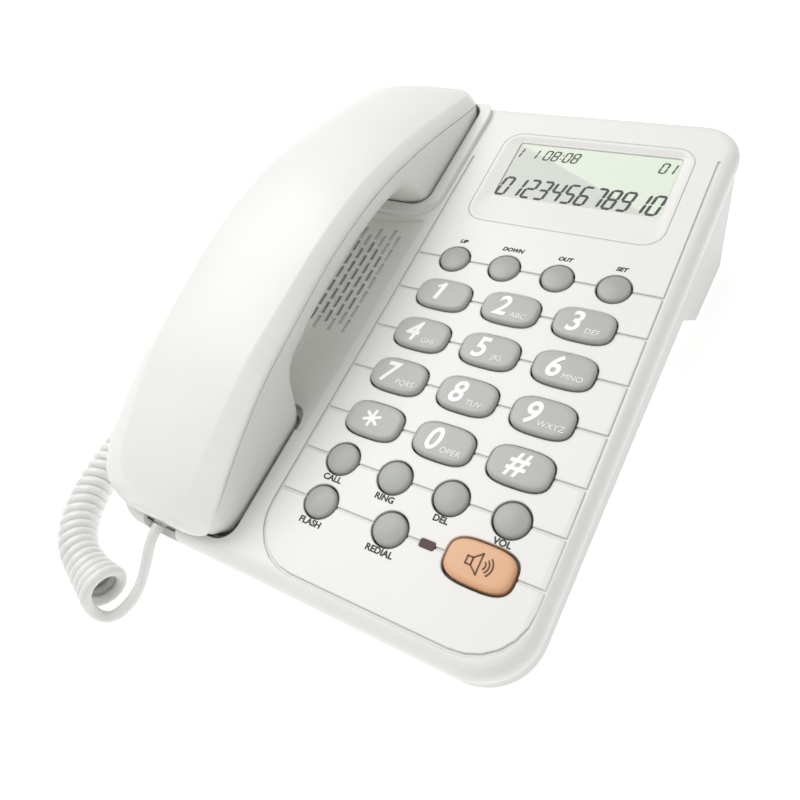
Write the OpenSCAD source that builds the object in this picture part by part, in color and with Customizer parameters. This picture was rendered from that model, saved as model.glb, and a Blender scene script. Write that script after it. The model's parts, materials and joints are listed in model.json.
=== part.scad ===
// Corded telephone with caller display: a wedge-shaped base, a handset lying in its cradle
// and a curly cord between them. Millimetres. X to the right, Y to the rear, Z up.
// Panel parts are drawn in the panel's own frame: x across, y along the slope from the
// front edge, z out of the panel, and are then tilted into place by on_panel().

/* [Base] */
// Width of the base at its front edge
base_front_width = 147.6; // [146:0.2:149]
// Width of the base at its rear edge
base_rear_width = 152.4; // [151:0.2:154]
// Length of the base along the sloping panel
base_length = 201; // [200.5:0.1:202]
// Corner radius of the base at the front right
front_corner_radius = 18; // [15:1:20]
// Corner radius of the base at the front left, beside the cradle
cradle_corner_radius = 15; // [14:0.5:15]
// Corner radius of the base at the rear
rear_corner_radius = 14; // [12:1:14]
// Radius of the rounded rim
rim_radius = 5; // [3:0.5:6]
// Tilt of the panel from the table, in degrees
panel_tilt = 10; // [9.5:0.25:10.5]
// Height of the panel's front edge above the table
front_height = 19; // [18.5:0.25:19.5]
// Wall thickness of the shells
wall = 2.2; // [2:0.1:2.4]

/* [Keypad] */
// Distance between number key columns
key_pitch_x = 24.3; // [24:0.1:25]
// Distance between number key rows
key_pitch_y = 17; // [16.6:0.1:17.2]
// Width of a number key
key_width = 19.2; // [18:0.2:20]
// Depth of a number key
key_depth = 12.2; // [11:0.2:12.6]
// Distance between function keys
function_pitch = 18.6; // [18:0.1:19]
// Diameter of a function key
function_key_diameter = 10.8; // [10:0.2:11.2]
// Width of the loudspeaker key
speaker_key_width = 20.6; // [19:0.2:21]
// Depth of the loudspeaker key
speaker_key_depth = 13; // [12:0.2:13.4]
// Height of a key cap above the panel
key_rise = 2.2; // [1.6:0.2:2.6]
// Gap between a key cap and its hole
key_gap = 0.35; // [0.3:0.05:0.45]

/* [Display] */
// Width of the display bezel
bezel_width = 69.8; // [69:0.2:71]
// Depth of the display bezel
bezel_depth = 44.4; // [44:0.2:45]
// Width of the visible display
glass_width = 59.6; // [58:0.2:60]
// Depth of the visible display
glass_depth = 27.4; // [26:0.2:28]

/* [Handset] */
// Distance of the cradle's centre line to the left of the middle
cradle_offset = 47.2; // [47:0.1:47.3]
// Half width of the handset at its widest
handset_half_width = 24.6; // [24.4:0.1:24.7]
// Depth of the cradle pockets
pocket_depth = 8.7; // [8.7:0.1:9]
// Wall of the handset shells
handset_wall = 2; // [1.8:0.1:2.2]

/* [Cord] */
// Outer diameter of the curly part
coil_diameter = 13; // [12:0.1:13]
// Diameter of the cord itself
cord_diameter = 3.6; // [3:0.1:3.6]

/* [Hidden] */
$fn = 48;
// Overlap of joined solids, and how far a cut runs past the face it opens
eps = 0.05;
past = 1;

// Colours
shell_colour = [0.95, 0.95, 0.94];
key_colour = [0.69, 0.70, 0.69];
orange_colour = [0.93, 0.68, 0.49];
board_colour = [0.12, 0.42, 0.25];
steel_colour = [0.66, 0.67, 0.69];
black_colour = [0.12, 0.12, 0.13];
clear_colour = [0.85, 0.90, 0.88, 0.5];
cord_colour = [0.93, 0.93, 0.91];

// Panel frame
front_y = -99.5;
front_edge = -1.6;
cover_depth = 7;
corner_steps = 12;
skin = 2.4;
body_inset = 0.6;
rear_wall_y = 99.2;
wedge_bottom_z = 1.5;
floor_front = 15;
floor_slope = 0.05;
cut_height = 100;

function panel_point(y, z) = [front_y + y * cos(panel_tilt) - z * sin(panel_tilt),
    front_height + y * sin(panel_tilt) + z * cos(panel_tilt)];
function floor_z(y) = -floor_front - floor_slope * y;
function arc_points(cx, cy, r, from, to, n) =
    [for (i = [0:n]) let (a = from + (to - from) * i / n) [cx + r * cos(a), cy + r * sin(a)]];
function plan_points(inset) =
    let (fw = base_front_width / 2 - inset, rw = base_rear_width / 2 - inset, n = corner_steps,
         y0 = front_edge + inset, y1 = base_length - inset, rf = front_corner_radius - inset,
         rc = cradle_corner_radius - inset, rr = rear_corner_radius - inset)
    concat(arc_points(fw - rf, y0 + rf, rf, -90, 0, n), arc_points(rw - rr, y1 - rr, rr, 0, 90, n),
           arc_points(rr - rw, y1 - rr, rr, 90, 180, n), arc_points(rc - fw, y0 + rc, rc, 180, 270, n));
round_steps = 6;
function rounded_points(w, l, r) =
    let (x = w / 2 - r, y = l / 2 - r, n = round_steps)
    concat(arc_points(x, -y, r, -90, 0, n), arc_points(x, y, r, 0, 90, n),
           arc_points(-x, y, r, 90, 180, n), arc_points(-x, -y, r, 180, 270, n));
// A barrel outline: a superellipse, so every side bulges a little
barrel_power = 3.1;
barrel_steps = 40;
function signed_power(v, p) = sign(v) * pow(abs(v), p);
function barrel_points(w, l) =
    [for (i = [0:barrel_steps - 1]) let (a = 360 * i / barrel_steps)
        [w / 2 * signed_power(cos(a), 2 / barrel_power), l / 2 * signed_power(sin(a), 2 / barrel_power)]];

module on_panel() {
    translate([0, front_y, front_height]) rotate([panel_tilt, 0, 0]) children();
}
module slab(points, z0, z1) {
    translate([0, 0, z0]) linear_extrude(z1 - z0) polygon(points);
}
module slab_at(x, y, points, z0, z1) {
    translate([x, y, 0]) slab(points, z0, z1);
}
module post(x, y, r, z0, z1) {
    translate([x, y, z0]) cylinder(r = r, h = z1 - z0);
}
module block(x0, x1, y0, y1, z0, z1) {
    translate([x0, y0, z0]) cube([x1 - x0, y1 - y0, z1 - z0]);
}

// Keypad layout: number block centre, row heights, and the rows of round keys
pad_x = 27.4;
pad_top_y = 107;
upper_shift = 0.3;
lower_shift = 0.1;
row_y = [for (i = [0:3]) pad_top_y - i * key_pitch_y];
upper_row_y = 122.7;
lower_row_y = 41;
last_row_y = 26.2;
flash_x = 0.1;
redial_x = 24.3;
indicator_x = 36.4;
speaker_key_x = 52.4;
number_places = [for (r = row_y) for (c = [-1:1]) [pad_x + c * key_pitch_x, r]];
upper_places = [for (i = [-1.5:1.5]) [pad_x + upper_shift + i * function_pitch, upper_row_y]];
lower_places = [for (i = [-1.5:1.5]) [pad_x + lower_shift + i * function_pitch, lower_row_y]];
last_places = [[flash_x, last_row_y], [redial_x, last_row_y]];
round_places = concat(upper_places, lower_places, last_places);
speaker_place = [speaker_key_x, last_row_y];
indicator_width = 4.6;
indicator_depth = 2.4;
flange_top = -2.7;
flange_bottom = -3.7;
flange_wide = 1.2;
cap_edge = 0.9;
cap_inset = 1.2;
dome_rise = 1.1;
dome_edge = 1.2;
lens_gap = 0.2;
lens_corner = 0.7;

module key_holes() {
    for (p = number_places)
        slab_at(p[0], p[1], barrel_points(key_width + 2 * key_gap, key_depth + 2 * key_gap),
            -cut_height, past);
    for (p = round_places) post(p[0], p[1], function_key_diameter / 2 + key_gap, -cut_height, past);
    slab_at(speaker_place[0], speaker_place[1],
        barrel_points(speaker_key_width + 2 * key_gap, speaker_key_depth + 2 * key_gap), -cut_height, past);
    slab_at(indicator_x, last_row_y,
        rounded_points(indicator_width + lens_gap, indicator_depth + lens_gap, lens_corner),
        -cut_height, past);
}
module barrel_key(place, w, l) {
    on_panel() translate([place[0], place[1], 0]) {
        slab(barrel_points(w, l), flange_top - eps, key_rise - cap_edge);
        slab(barrel_points(w - cap_inset, l - cap_inset), key_rise - cap_edge - eps, key_rise);
        slab(barrel_points(w + 2 * flange_wide, l + 2 * flange_wide), flange_bottom, flange_top);
    }
}
module round_key(place) {
    r = function_key_diameter / 2;
    dome = [for (a = [0:15:90]) [r * cos(a), dome_edge + dome_rise * sin(a)]];
    on_panel() translate([place[0], place[1], 0]) rotate_extrude()
        polygon(concat([[0, flange_bottom], [r + flange_wide, flange_bottom],
            [r + flange_wide, flange_top], [r, flange_top]], dome));
}
module number_key(i) {
    color(key_colour) barrel_key(number_places[i], key_width, key_depth);
}
module function_key(place) {
    color(key_colour) round_key(place);
}
module key_loudspeaker() {
    color(orange_colour) barrel_key(speaker_place, speaker_key_width, speaker_key_depth);
}

// Cradle
cradle_x = -cradle_offset;
pocket_width = 51.2;
pocket_low_width = 49.6;
pocket_low_inset = 2.2;
pocket_low_top = -5.4;
pocket_top = 6;
deep = 20;
side_wall = 1.8;
low_wall = 1.2;
wall_gap = 0.3;
pocket_corner = 6.5;
mouth_y0 = 3.4;
mouth_y1 = 53.8;
ear_y0 = 142.4;
ear_y1 = 198.4;
bead_width = 4.4;
bead_height = 1.8;
valley_radius = 96;
valley_depth = 4.2;
notch_width = 14;
notch_depth = 5.6;
// The handset's jack sits a little to the left of its middle, and low
jack_shift = -1.5;
jack_drop = -1.2;
jack_x = cradle_x + jack_shift;
hook_x = cradle_x;
hook_y = 157;
hook_width = 7;
hook_length = 13;
hook_gap = 0.4;
hook_corner = 1.4;
mouth_mid = (mouth_y0 + mouth_y1) / 2;
mouth_length = mouth_y1 - mouth_y0;
ear_mid = (ear_y0 + ear_y1) / 2;
ear_length = ear_y1 - ear_y0;

module pocket_pair(width, grow, z0, z1) {
    for (p = [[mouth_mid, mouth_length], [ear_mid, ear_length]])
        slab_at(cradle_x, p[0],
            rounded_points(width + 2 * grow, p[1] + 2 * grow, pocket_corner + grow), z0, z1);
}
// The pockets narrow towards their floor, like the handset's rounded underside
module pocket_space() {
    intersection() {
        pocket_pair(pocket_width, 0, pocket_low_top, pocket_top);
        slab(plan_points(side_wall), -deep, pocket_top);
    }
    intersection() {
        pocket_pair(pocket_low_width, -pocket_low_inset, -pocket_depth, 0);
        slab(plan_points(body_inset + wall + wall_gap + low_wall), -deep, pocket_top);
    }
}
module pocket_walls() {
    intersection() {
        pocket_pair(pocket_width, wall, -cover_depth, -skin / 4);
        rim_body();
    }
    intersection() {
        pocket_pair(pocket_low_width, low_wall - pocket_low_inset, -pocket_depth - wall, -cover_depth + eps);
        slab(plan_points(body_inset + wall + wall_gap), -deep, pocket_top);
    }
}
module valley(drop, y0, y1) {
    translate([cradle_x, y0, valley_radius - valley_depth - drop]) rotate([-90, 0, 0])
        cylinder(r = valley_radius, h = y1 - y0, $fn = 96);
}
// Grille: staggered columns of slots over the loudspeaker
slot_pitch_x = 3.4;
slot_pitch_y = 6.6;
slot_length = 5.2;
slot_width = 1.3;
grille_radius = 20;
grille_through = 9;
blind_depth = 0.8;
speaker_y = 107;
speaker_radius = 22.5;
function valley_z(x) = valley_radius - valley_depth - sqrt(valley_radius * valley_radius - x * x);
module grille() {
    for (c = [-6:6]) for (k = [-3:3]) let (x = c * slot_pitch_x, y = (k + 0.5 * (abs(c) % 2)) * slot_pitch_y)
        block(cradle_x + x - slot_width / 2, cradle_x + x + slot_width / 2,
            speaker_y + y - slot_length / 2, speaker_y + y + slot_length / 2,
            norm([x, y]) < grille_radius ? -grille_through : valley_z(x) - blind_depth, past);
}
// Screw bosses: [x, y] on the panel
bosses = [[64, 9.5], [-17.1, 14], [-30, 66], [-17.1, 136.5], [68.5, 128]];
board_posts = [[-9.8, 146], [-9.8, 176], [67.4, 146], [67.4, 176]];
pad_posts = [[-10.5, 48], [-10.5, 114], [67, 48], [67, 114]];
boss_radius = 3;
boss_collar = 0.8;
pilot_radius = 1.42;
boss_joint_z = -10.3;
bezel_x = 28.9;
bezel_y = 164;
bezel_corner = 7;
bezel_floor = -1.3;
bezel_bottom = -3.9;
bezel_flange = 1.3;
bezel_land = 1.2;
glass_land = 0.4;
window_z = [-2.5, -1.5];
panel_play = 0.05;
bezel_gap = 0.1;
valley_run = 8;
speaker_ring = 1.7;
speaker_gap = 0.2;
speaker_seat = 9.2;
speaker_cone_z = -13.2;
speaker_front = -7.1;
cone_radius = 13;
cone_edge = 0.5;
magnet_radius = 11;
magnet_height = 3.6;
board_post_radius = 1.9;
pad_post_radius = 1.6;
bead_inset = 2.6;
glass_x = 29.7;
glass_y = 169.2;
glass_corner = 1.2;
// Engraved lines: one along each key row, and an outline round the keypad that is open at the rear
groove_depth = 0.5;
groove_width = 0.8;
outline_x0 = -15;
outline_x1 = 71;
outline_y0 = 3.3;
outline_left_y1 = 172;
outline_right_y1 = 182;
outline_corner = 17.6;

module outline_slab(inset) {
    w = outline_x1 - outline_x0 - 2 * inset;
    l = outline_right_y1 - outline_y0 + 2 * outline_corner;
    slab_at((outline_x0 + outline_x1) / 2, outline_y0 + inset + l / 2,
        rounded_points(w, l, outline_corner - inset), -groove_depth, past);
}
module engraved_lines() {
    half = groove_width / 2;
    for (y = concat(row_y, [upper_row_y, lower_row_y, last_row_y]))
        block(outline_x0, outline_x1, y - half, y + half, -groove_depth, past);
    intersection() {
        difference() {
            outline_slab(-half);
            outline_slab(half);
        }
        union() {
            block(outline_x0 - past, pad_x, 0, outline_left_y1, -past, past);
            block(pad_x - past, outline_x1 + past, 0, outline_right_y1, -past, past);
        }
    }
}
module rim_body() {
    hull() {
        slab(plan_points(0), -cover_depth, -rim_radius);
        for (a = [15:15:90])
            slab(plan_points(rim_radius * (1 - cos(a))), -rim_radius - eps, rim_radius * (sin(a) - 1));
    }
}
module base_top_cover() {
    color(shell_colour) on_panel() difference() {
        union() {
            difference() {
                rim_body();
                difference() {
                    slab(plan_points(wall), -cover_depth - past, -skin);
                    valley(skin, mouth_y1 - valley_run, ear_y0 + valley_run);
                }
            }
            pocket_walls();
            difference() {
                post(cradle_x, speaker_y, speaker_radius + speaker_ring, -speaker_seat, -skin);
                post(cradle_x, speaker_y, speaker_radius + speaker_gap, -speaker_seat - past, 0);
            }
            for (p = board_posts) post(p[0], p[1], board_post_radius, main_top + eps, -skin + eps);
            for (p = pad_posts) post(p[0], p[1], pad_post_radius, membrane_top + eps, -skin + eps);
            intersection() {
                slab_at(cradle_x, ear_mid, rounded_points(pocket_width + 2 * bead_width,
                    ear_length + 2 * bead_width, pocket_corner + bead_width), -past, bead_height);
                slab(plan_points(bead_inset), -past, bead_height);
            }
            for (p = bosses) post(p[0], p[1], boss_radius, boss_joint_z, -skin + eps);
        }
        pocket_space();
        valley(0, mouth_y1 - valley_run - past, ear_y0 - bead_width - past);
        block(jack_x - notch_width / 2, jack_x + notch_width / 2, front_edge - past, mouth_y0 + past,
            -notch_depth, past);
        slab_at(hook_x, hook_y,
            rounded_points(hook_width + 2 * hook_gap, hook_length + 2 * hook_gap, hook_corner), -deep, 0);
        grille();
        key_holes();
        slab_at(bezel_x, bezel_y, rounded_points(bezel_width + 2 * bezel_gap,
            bezel_depth + 2 * bezel_gap, bezel_corner + bezel_gap), -deep, past);
        engraved_lines();
        for (p = bosses) post(p[0], p[1], pilot_radius, boss_joint_z - past, -skin - past);
    }
}

// Bottom cover: a tapering tray with a raised stand at the rear
stand_top_y = 34;
stand_foot_y = 56;
stand_foot_radius = 6;
stand_lean = 0.4;
stand_foot_shift = 1 / 3;
knee_y = 135;
tray_top = 60;
tray_height = 80;
function tray_profile(t) =
    let (knee = floor_z(knee_y) + t)
    concat([panel_point(front_edge - past, -cover_depth), panel_point(front_edge - past, floor_z(0) + t),
            panel_point(0, floor_z(0) + t),
            [stand_top_y + t * stand_lean, panel_point(knee_y, knee)[1] - eps]],
           [for (a = [225:15:270])
               [stand_foot_y + t * stand_lean + stand_foot_radius * (cos(a) + stand_foot_shift),
                wedge_bottom_z + t + stand_foot_radius * (1 + sin(a))]],
           [[rear_wall_y - t, wedge_bottom_z + t], [rear_wall_y - t, tray_top],
            panel_point(base_length + 2 * past, -cover_depth)]);
module side_extrude(points, half) {
    translate([-half, 0, 0]) rotate([90, 0, 90]) linear_extrude(2 * half) polygon(points);
}
module tray_body(t) {
    intersection() {
        on_panel() slab(plan_points(body_inset + t), -tray_height, -cover_depth + (t > 0 ? past : 0));
        side_extrude(tray_profile(t), base_rear_width);
        translate([0, rear_wall_y - base_length + body_inset, 0])
            slab(plan_points(body_inset + t), -past, tray_height);
    }
}
// Feet: [x, y] on the table
feet = [[55, -84], [-55, -84], [58, 68], [-58, 68]];
foot_radius = 6;
front_foot_top = 4;
rear_foot_top = 2.6;
front_socket_top = 7;
foot_wall = 2;
foot_gap = 0.02;
rim_foot_z = 2.4;
// Battery bay under the stand
bay_half = 26;
bay_y0 = 62;
bay_y1 = 96;
bay_top = 15.5;
bay_wall = 1.5;
door_half = 27;
door_y0 = 61;
tongue = 1.4;
cell_radius = 5.2;
cell_half = 22.2;
cell_pitch = 10.9;
cell_y = 79;
cell_z = 9.4;
cell_nub = 0.8;
cell_nub_radius = 1.9;
contact_thick = 0.4;
contact_gap = 0.02;
contact_half = 4;
tab_half = 2;
contact_z = [5, 12, 14];
// Sockets
line_x = 46;
line_z = 28;
line_body = [13.4, 15, 12.4];
line_opening = [9.7, 6.8];
line_bore = 14;
line_step = 0.5;
line_face_gap = 0.2;
// Steps for the plug's latch below the socket's mouth: [half width, depth]
line_notches = [[3, 1.3], [1.6, 2.4]];
cord_socket_y = 66;
cord_socket_z = -11.7;
cord_body = [14, 9.8, 7.6];
cord_opening = [7.9, 6.9];
cord_bore = 12;
socket_lip = 0.4;
cord_window = [5, 3.9];
cord_window_depth = 5.5;
mic_x = 52;
mic_bore = 0.8;
mic_z = -10.2;
mic_radius = 2.4;
mic_length = 3;
mic_gap = 0.1;
screw_clear = 1.6;
head_clear = 3.1;
head_seat = 3;
door_groove = [1.9, 3.2];
door_opening_top = 3.9;

module base_bottom_cover() {
    color([0.90, 0.90, 0.88]) difference() {
        union() {
            difference() {
                tray_body(0);
                tray_body(wall);
            }
            intersection() {
                tray_body(0);
                union() {
                    on_panel() for (p = bosses)
                        post(p[0], p[1], boss_radius + boss_collar, -tray_height, boss_joint_z - eps);
                    for (f = feet) post(f[0], f[1], foot_radius + foot_wall, -past, front_socket_top);
                    block(-bay_half - bay_wall, bay_half + bay_wall, bay_y0 - bay_wall, bay_y1 + bay_wall,
                        wedge_bottom_z, bay_top + bay_wall);
                }
            }
            for (f = [feet[0], feet[1]])
                post(f[0], f[1], foot_radius + foot_wall, rim_foot_z, front_socket_top);
        }
        on_panel() for (p = bosses) {
            post(p[0], p[1], screw_clear, -tray_height, boss_joint_z + past);
            post(p[0], p[1], head_clear, -tray_height, boss_joint_z - head_seat);
        }
        for (f = [feet[0], feet[1]]) post(f[0], f[1], foot_radius + foot_gap, -past, front_foot_top);
        for (f = [feet[2], feet[3]]) post(f[0], f[1], foot_radius + foot_gap, -past, rear_foot_top);
        block(-bay_half, bay_half, bay_y0, bay_y1, 0, bay_top);
        block(-door_half, door_half, door_y0, cut_height, 0, door_opening_top);
        block(-door_half - tongue - wall_gap, door_half + tongue + wall_gap, door_y0, cut_height,
            door_groove[0], door_groove[1]);
        block(line_x - line_body[0] / 2 + socket_lip, line_x + line_body[0] / 2 - socket_lip,
            bay_y1, cut_height, line_z - line_body[2] / 2 + socket_lip,
            line_z + line_body[2] / 2 - socket_lip);
        on_panel() {
            block(-base_rear_width / 2 - past, socket_face + cord_window_depth,
                cord_socket_y - cord_window[0], cord_socket_y + cord_window[0],
                cord_socket_z - cord_window[1], cord_socket_z + cord_window[1]);
            translate([mic_x, front_edge - past, mic_z]) rotate([-90, 0, 0])
                cylinder(r = mic_bore, h = body_inset + wall + 2 * past);
        }
    }
}
module rubber_feet() {
    color(black_colour) {
        for (f = [feet[0], feet[1]]) post(f[0], f[1], foot_radius, 0, front_foot_top);
        for (f = [feet[2], feet[3]]) post(f[0], f[1], foot_radius, 0, rear_foot_top);
    }
}
shank_radius = 1.4;
head_radius = 2.8;
head_height = 2;
screw_grip = 6;
slot_reach = 1.8;
slot_half = 0.35;
slot_deep = 0.9;
// A cross recess, opening downwards, in a screw head whose underside is at z
module cross_slot(x, y, z) {
    block(x - slot_reach, x + slot_reach, y - slot_half, y + slot_half, z - past, z + slot_deep);
    block(x - slot_half, x + slot_half, y - slot_reach, y + slot_reach, z - past, z + slot_deep);
}
module base_screws() {
    color(steel_colour) on_panel() for (p = bosses) difference() {
        union() {
            post(p[0], p[1], shank_radius, boss_joint_z - head_seat - 2 * eps, boss_joint_z + screw_grip);
            post(p[0], p[1], head_radius, boss_joint_z - head_seat - head_height,
                boss_joint_z - head_seat - eps);
        }
        cross_slot(p[0], p[1], boss_joint_z - head_seat - head_height);
    }
}
ballast = [[-64, 12, -13], [-26, 50, -11.2]];
module ballast_plate() {
    color(steel_colour) on_panel()
        block(ballast[0][0], ballast[1][0], ballast[0][1], ballast[1][1], ballast[0][2], ballast[1][2]);
}
// Grip ribs on the battery cover
grip_half = 9;
grip_y0 = 66;
grip_pitch = 2.4;
grip_width = 1.2;
grip_depth = 0.6;
door_back_gap = 0.1;
tongue_short = 6;
module battery_cover() {
    color([0.90, 0.90, 0.88]) {
        difference() {
            block(-door_half + wall_gap, door_half - wall_gap, door_y0 + wall_gap,
                rear_wall_y - door_back_gap, wedge_bottom_z, door_opening_top - wall_gap);
            for (i = [0:4]) let (y = grip_y0 + grip_pitch * i)
                block(-grip_half, grip_half, y, y + grip_width, 0, wedge_bottom_z + grip_depth);
        }
        block(-door_half - tongue, door_half + tongue, door_y0 + wall_gap, rear_wall_y - tongue_short,
            door_groove[0] + wall_gap, door_groove[1] - wall_gap);
    }
}
module battery_cells() {
    color([0.75, 0.70, 0.45]) for (i = [-1:1]) translate([0, cell_y + i * cell_pitch, cell_z]) {
        translate([-cell_half, 0, 0]) rotate([0, 90, 0])
            cylinder(r = cell_radius, h = 2 * cell_half - cell_nub);
        translate([cell_half - cell_nub - eps, 0, 0]) rotate([0, 90, 0])
            cylinder(r = cell_nub_radius, h = cell_nub + eps);
    }
}
module battery_contacts() {
    color(steel_colour) for (i = [-1:1]) {
        y = cell_y + i * cell_pitch;
        inner = cell_half + contact_gap;
        outer = inner + contact_thick;
        block(inner, outer, y - contact_half, y + contact_half, contact_z[0], contact_z[2]);
        block(outer - eps, bay_half, y - tab_half, y + tab_half, contact_z[1], contact_z[2]);
        block(-outer, -inner, y - contact_half, y + contact_half, contact_z[0], contact_z[2]);
        block(-bay_half, eps - outer, y - tab_half, y + tab_half, contact_z[1], contact_z[2]);
    }
}

// Keypad layers, display and electronics
membrane_top = -5.6;
membrane_bottom = -6.45;
dome_top = -5;
pad_base_radius = 4.2;
pad_top_radius = 2.6;
board_top = -6.5;
board_bottom = -8.1;
pad_x0 = -13;
pad_x1 = 70;
pad_y0 = 16;
pad_y1 = 131;
boss_clear = 1.4;
led_hole_radius = 1.5;
led_radius = 1.1;
main_top = -13.2;
main_bottom = -14.8;
main_x = [-12, 70];
main_y = [142, 181];
// Chips on the board and the transformer below it: x from and to, y from and to, height
chips = [[0, 12, 152, 164, 2], [30, 42, 153, 161, 3], [14, 28, 166, 178, 1.6]];
transformer = [-6, 6, 166, 178, 9];
capacitor_x = 54;
capacitor_y = [160, 170];
capacitor_radius = 3;
capacitor_height = 4.4;
cable_x = 20;
cable_width = 18;
// The ribbon seen from the side: [y, z]
cable_side = [[126, -8.1], [134, -8.1], [147, -12.9], [150, -12.9], [150, -13.2], [146.8, -13.2],
    [133.8, -8.4], [126, -8.4]];
panel_edge = 0.3;
panel_clear = 0.1;
frame_edge = [2.2, 2.8];
frame_bottom = -6.8;
back_edge = [3.2, 3.8];
back_bottom = -8.2;
lens_top = 0.2;
lens_bottom = -2.5;
lens_round = 0.6;
led_top = -2.6;

module pad_sheet(z0, z1) {
    difference() {
        block(pad_x0, pad_x1, pad_y0, pad_y1, z0, z1);
        for (p = bosses) post(p[0], p[1], boss_radius + boss_clear, z0 - past, z1 + past);
        post(indicator_x, last_row_y, led_hole_radius, membrane_bottom - eps / 2, 0);
    }
}
module keypad_membrane() {
    color([0.82, 0.84, 0.86]) on_panel() {
        pad_sheet(membrane_bottom, membrane_top);
        for (p = concat(number_places, round_places, [speaker_place]))
            translate([p[0], p[1], membrane_top - eps])
                cylinder(r1 = pad_base_radius, r2 = pad_top_radius, h = dome_top - membrane_top + eps);
    }
}
module keypad_board() {
    color(board_colour) on_panel() pad_sheet(board_bottom, board_top);
}
module main_board() {
    color(board_colour) on_panel() {
        block(main_x[0], main_x[1], main_y[0], main_y[1], main_bottom, main_top);
        for (c = chips) block(c[0], c[1], c[2], c[3], main_top - eps, main_top + c[4]);
        for (y = capacitor_y)
            post(capacitor_x, y, capacitor_radius, main_top - eps, main_top + capacitor_height);
        block(transformer[0], transformer[1], transformer[2], transformer[3],
            main_bottom - transformer[4], main_bottom + eps);
    }
}
module flat_cable() {
    color([0.85, 0.85, 0.80]) on_panel() translate([cable_x, 0, 0]) rotate([90, 0, 90])
        linear_extrude(cable_width) polygon(cable_side);
}
module display_bezel() {
    color(shell_colour) on_panel() difference() {
        union() {
            slab_at(bezel_x, bezel_y, rounded_points(bezel_width, bezel_depth, bezel_corner),
                bezel_bottom, 0);
            slab_at(bezel_x, bezel_y, rounded_points(bezel_width + 2 * bezel_flange,
                bezel_depth + 2 * bezel_flange, bezel_corner + bezel_flange), bezel_bottom, -skin - eps);
        }
        slab_at(glass_x, glass_y, rounded_points(glass_width, glass_depth, glass_corner), -deep, past);
        hull() {
            slab_at(bezel_x, bezel_y, rounded_points(bezel_width - 2 * bezel_land,
                bezel_depth - 2 * bezel_land, bezel_corner - bezel_land), 0, past);
            slab_at(glass_x, glass_y, rounded_points(glass_width + 2 * glass_land,
                glass_depth + 2 * glass_land, glass_corner + glass_land), bezel_floor, 0);
        }
    }
}
module display_window() {
    color(clear_colour) on_panel() slab_at(glass_x, glass_y,
        rounded_points(glass_width - 2 * panel_play, glass_depth - 2 * panel_play, glass_corner - panel_play),
        window_z[0], window_z[1]);
}
module display_panel() {
    w = glass_width / 2;
    l = glass_depth / 2;
    color([0.84, 0.89, 0.82]) on_panel() translate([glass_x, glass_y, 0]) {
        block(panel_edge - w, w - panel_edge, panel_edge - l, l - panel_edge,
            bezel_bottom - 2 * eps, window_z[0] - panel_clear);
        block(-w - frame_edge[0], w + frame_edge[0], -l - frame_edge[1], l + frame_edge[1],
            frame_bottom, bezel_bottom - eps);
        block(-w - back_edge[0], w + back_edge[0], -l - back_edge[1], l + back_edge[1],
            back_bottom, frame_bottom + eps);
    }
}
module indicator_lens() {
    color([0.45, 0.08, 0.06]) on_panel() slab_at(indicator_x, last_row_y,
        rounded_points(indicator_width, indicator_depth, lens_round), lens_bottom, lens_top);
}
module indicator_led() {
    color([0.6, 0.1, 0.08]) on_panel() {
        post(indicator_x, last_row_y, led_radius, board_top + contact_gap, led_top);
    }
}
module loudspeaker() {
    color(black_colour) on_panel() {
        post(cradle_x, speaker_y, speaker_radius, -speaker_seat, speaker_front);
        translate([cradle_x, speaker_y, speaker_cone_z])
            cylinder(r1 = cone_radius, r2 = speaker_radius - cone_edge,
                h = eps - speaker_seat - speaker_cone_z);
        post(cradle_x, speaker_y, magnet_radius, speaker_cone_z - magnet_height, speaker_cone_z + eps);
    }
}
module handsfree_microphone() {
    color(black_colour) on_panel() translate([mic_x, front_edge + body_inset + wall + mic_gap, mic_z])
        rotate([-90, 0, 0]) cylinder(r = mic_radius, h = mic_length);
}

// Hook: the button stands in the ear pocket, pressed flush by the handset
hook_top = -pocket_depth;
hook_round = 1;
collar_top = -16.3;
collar_bottom = -17.4;
collar_wide = 5;
arm_half = 1;
arm_y = [9, 13];
spring_radius = [2.1, 2.6];
shelf_top = -26;
shelf_bottom = -27.6;
shelf_half = 10;
shelf_y = [-6, 22];
switch_half = 5;
switch_y0 = 10;
switch_top = -20.5;
lever_half = 2;
lever_y = [11, 13];
lever_top = -17.8;
leg_x = 8.8;
leg_half = 1.1;
leg_reach = 4;
module hook_button() {
    color(shell_colour) on_panel() {
        slab_at(hook_x, hook_y, rounded_points(hook_width, hook_length, hook_round),
            collar_top - 2 * eps, hook_top);
        slab_at(hook_x, hook_y,
            rounded_points(hook_width + collar_wide, hook_length + collar_wide, hook_round),
            collar_bottom, collar_top);
        block(hook_x - arm_half, hook_x + arm_half, hook_y + arm_y[0], hook_y + arm_y[1],
            collar_bottom, collar_top);
    }
}
module hook_spring() {
    color(steel_colour) on_panel() difference() {
        post(hook_x, hook_y, spring_radius[1], shelf_top, collar_bottom);
        post(hook_x, hook_y, spring_radius[0], shelf_top - past, collar_bottom + past);
    }
}
module hook_switch() {
    color(black_colour) on_panel() {
        block(hook_x - switch_half, hook_x + switch_half, hook_y + switch_y0, hook_y + shelf_y[1],
            shelf_top, switch_top);
        block(hook_x - lever_half, hook_x + lever_half, hook_y + lever_y[0], hook_y + lever_y[1],
            switch_top - eps, lever_top);
        block(hook_x - shelf_half, hook_x + shelf_half, hook_y + shelf_y[0], hook_y + shelf_y[1],
            shelf_bottom, shelf_top);
        for (side = [-1, 1]) translate([hook_x + side * leg_x, 0, 0])
            block(-leg_half, leg_half, hook_y - leg_reach, hook_y + leg_reach,
                shelf_top - 2 * eps, -pocket_depth - wall - eps);
    }
}
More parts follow.
